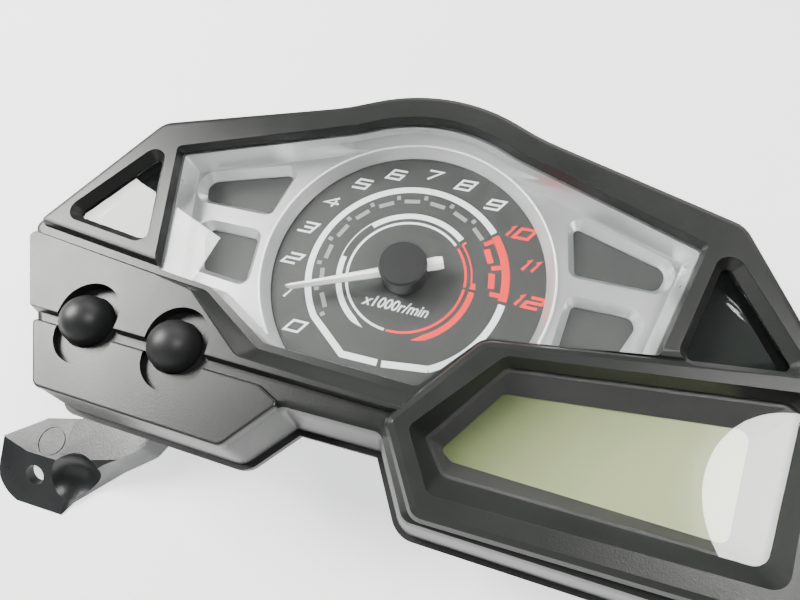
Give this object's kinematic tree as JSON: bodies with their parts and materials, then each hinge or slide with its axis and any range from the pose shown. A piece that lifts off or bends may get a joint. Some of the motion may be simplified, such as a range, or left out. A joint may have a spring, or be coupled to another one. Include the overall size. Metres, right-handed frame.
{
  "type": "motorcycle instrument cluster",
  "caption": "Motorcycle instrument cluster with a round tachometer dial, slanted display window, twin rubber buttons, side turn-light windows and two mounting stays.",
  "frame": {"origin": "where the pointer axis meets the flat back of the rear case", "axes": "+X to the rider's right, +Y up the face, +Z out of the face towards the rider"},
  "size_m": [0.2374, 0.1422, 0.0607],
  "materials": {
    "cover_plastic": "black, fine grain, satin",
    "rear_plastic": "black, moulded",
    "stay_plastic": "black, fine grain, semi-gloss",
    "clear_lens": "clear moulded acrylic",
    "silver_paint": "satin silver",
    "dial_print": "charcoal grain with white and red print",
    "diffuser": "frosted acrylic",
    "white_plastic": "white moulded",
    "board": "green solder mask",
    "led": "white body with yellow phosphor",
    "screw_steel": "zinc plated",
    "component_black": "black moulded",
    "capacitor_can": "bright can",
    "gear_white": "natural acetal",
    "magnet": "sintered magnet",
    "stator_steel": "laminated steel",
    "copper": "enamelled copper wire",
    "pointer_white": "translucent white",
    "cap_black": "satin black",
    "lcd_glass": "unlit olive display",
    "rubber": "matt black",
    "prism_smoke": "clear faceted prism over black",
    "pin_brass": "tinned brass"
  },
  "bodies": {
    "root": {"front_cover": "cover_plastic", "rear_case": "rear_plastic", "connector_housing": "rear_plastic", "vent_cap": "rear_plastic", "left_stay": "stay_plastic", "right_stay": "stay_plastic", "clear_lens": "clear_lens", "silver_bezel": "silver_paint", "dial_face": "dial_print", "light_guide": "diffuser", "lcd_backlight": "diffuser", "light_box": "white_plastic", "left_turn_well": "white_plastic", "right_turn_well": "white_plastic", "circuit_board": "board", "dial_leds": "led", "telltale_leds": "led", "lcd_leds": "led", "turn_leds": "led", "board_screws": "screw_steel", "case_screws": "screw_steel", "stay_screws": "screw_steel", "controller_chip": "component_black", "mode_switch": "component_black", "set_switch": "component_black", "motor_front_case": "component_black", "motor_rear_case": "component_black", "lcd_holder": "component_black", "capacitors": "capacitor_can", "stator": "stator_steel", "motor_coils": "copper", "lcd_glass": "lcd_glass", "lcd_contact_strip": "rubber", "case_gasket": "rubber", "left_turn_prism": "prism_smoke", "right_turn_prism": "prism_smoke", "connector_pins": "pin_brass"},
    "pointer_body": {"pointer": "pointer_white", "pointer_cap": "cap_black", "output_gear": "gear_white"},
    "idler_body": {"idler_gear": "gear_white"},
    "rotor_body": {"rotor": "magnet"},
    "mode_button_body": {"mode_button": "rubber", "mode_rod": "white_plastic", "mode_plunger": "white_plastic"},
    "set_button_body": {"set_button": "rubber", "set_rod": "white_plastic", "set_plunger": "white_plastic"}
  },
  "joints": [
    {"name": "pointer_spin", "type": "hinge", "parent": "root", "child": "pointer_body", "pos_m": [0, 0, 0.047], "axis": [0, 0, -1], "range_deg": [-17.3, 202.7]},
    {"name": "idler_spin", "type": "hinge", "parent": "root", "child": "idler_body", "pos_m": [0, -0.0105, 0.021], "axis": [0, 0, -1], "range_deg": [-812, 71]},
    {"name": "rotor_spin", "type": "hinge", "parent": "root", "child": "rotor_body", "pos_m": [0.0078, -0.01753, 0.02], "axis": [0, 0, -1], "range_deg": [-279, 3246]},
    {"name": "mode_press", "type": "slide", "parent": "root", "child": "mode_button_body", "axis": [0, 0, -1], "range_m": [0, 0.001], "stiffness_N_per_m": 1500},
    {"name": "set_press", "type": "slide", "parent": "root", "child": "set_button_body", "axis": [0, 0, -1], "range_m": [0, 0.001], "stiffness_N_per_m": 1500}
  ],
  "couplings": [
    {"joint": "idler_spin", "follows": "pointer_spin", "ratio": -4},
    {"joint": "rotor_spin", "follows": "pointer_spin", "ratio": 16}
  ]
}
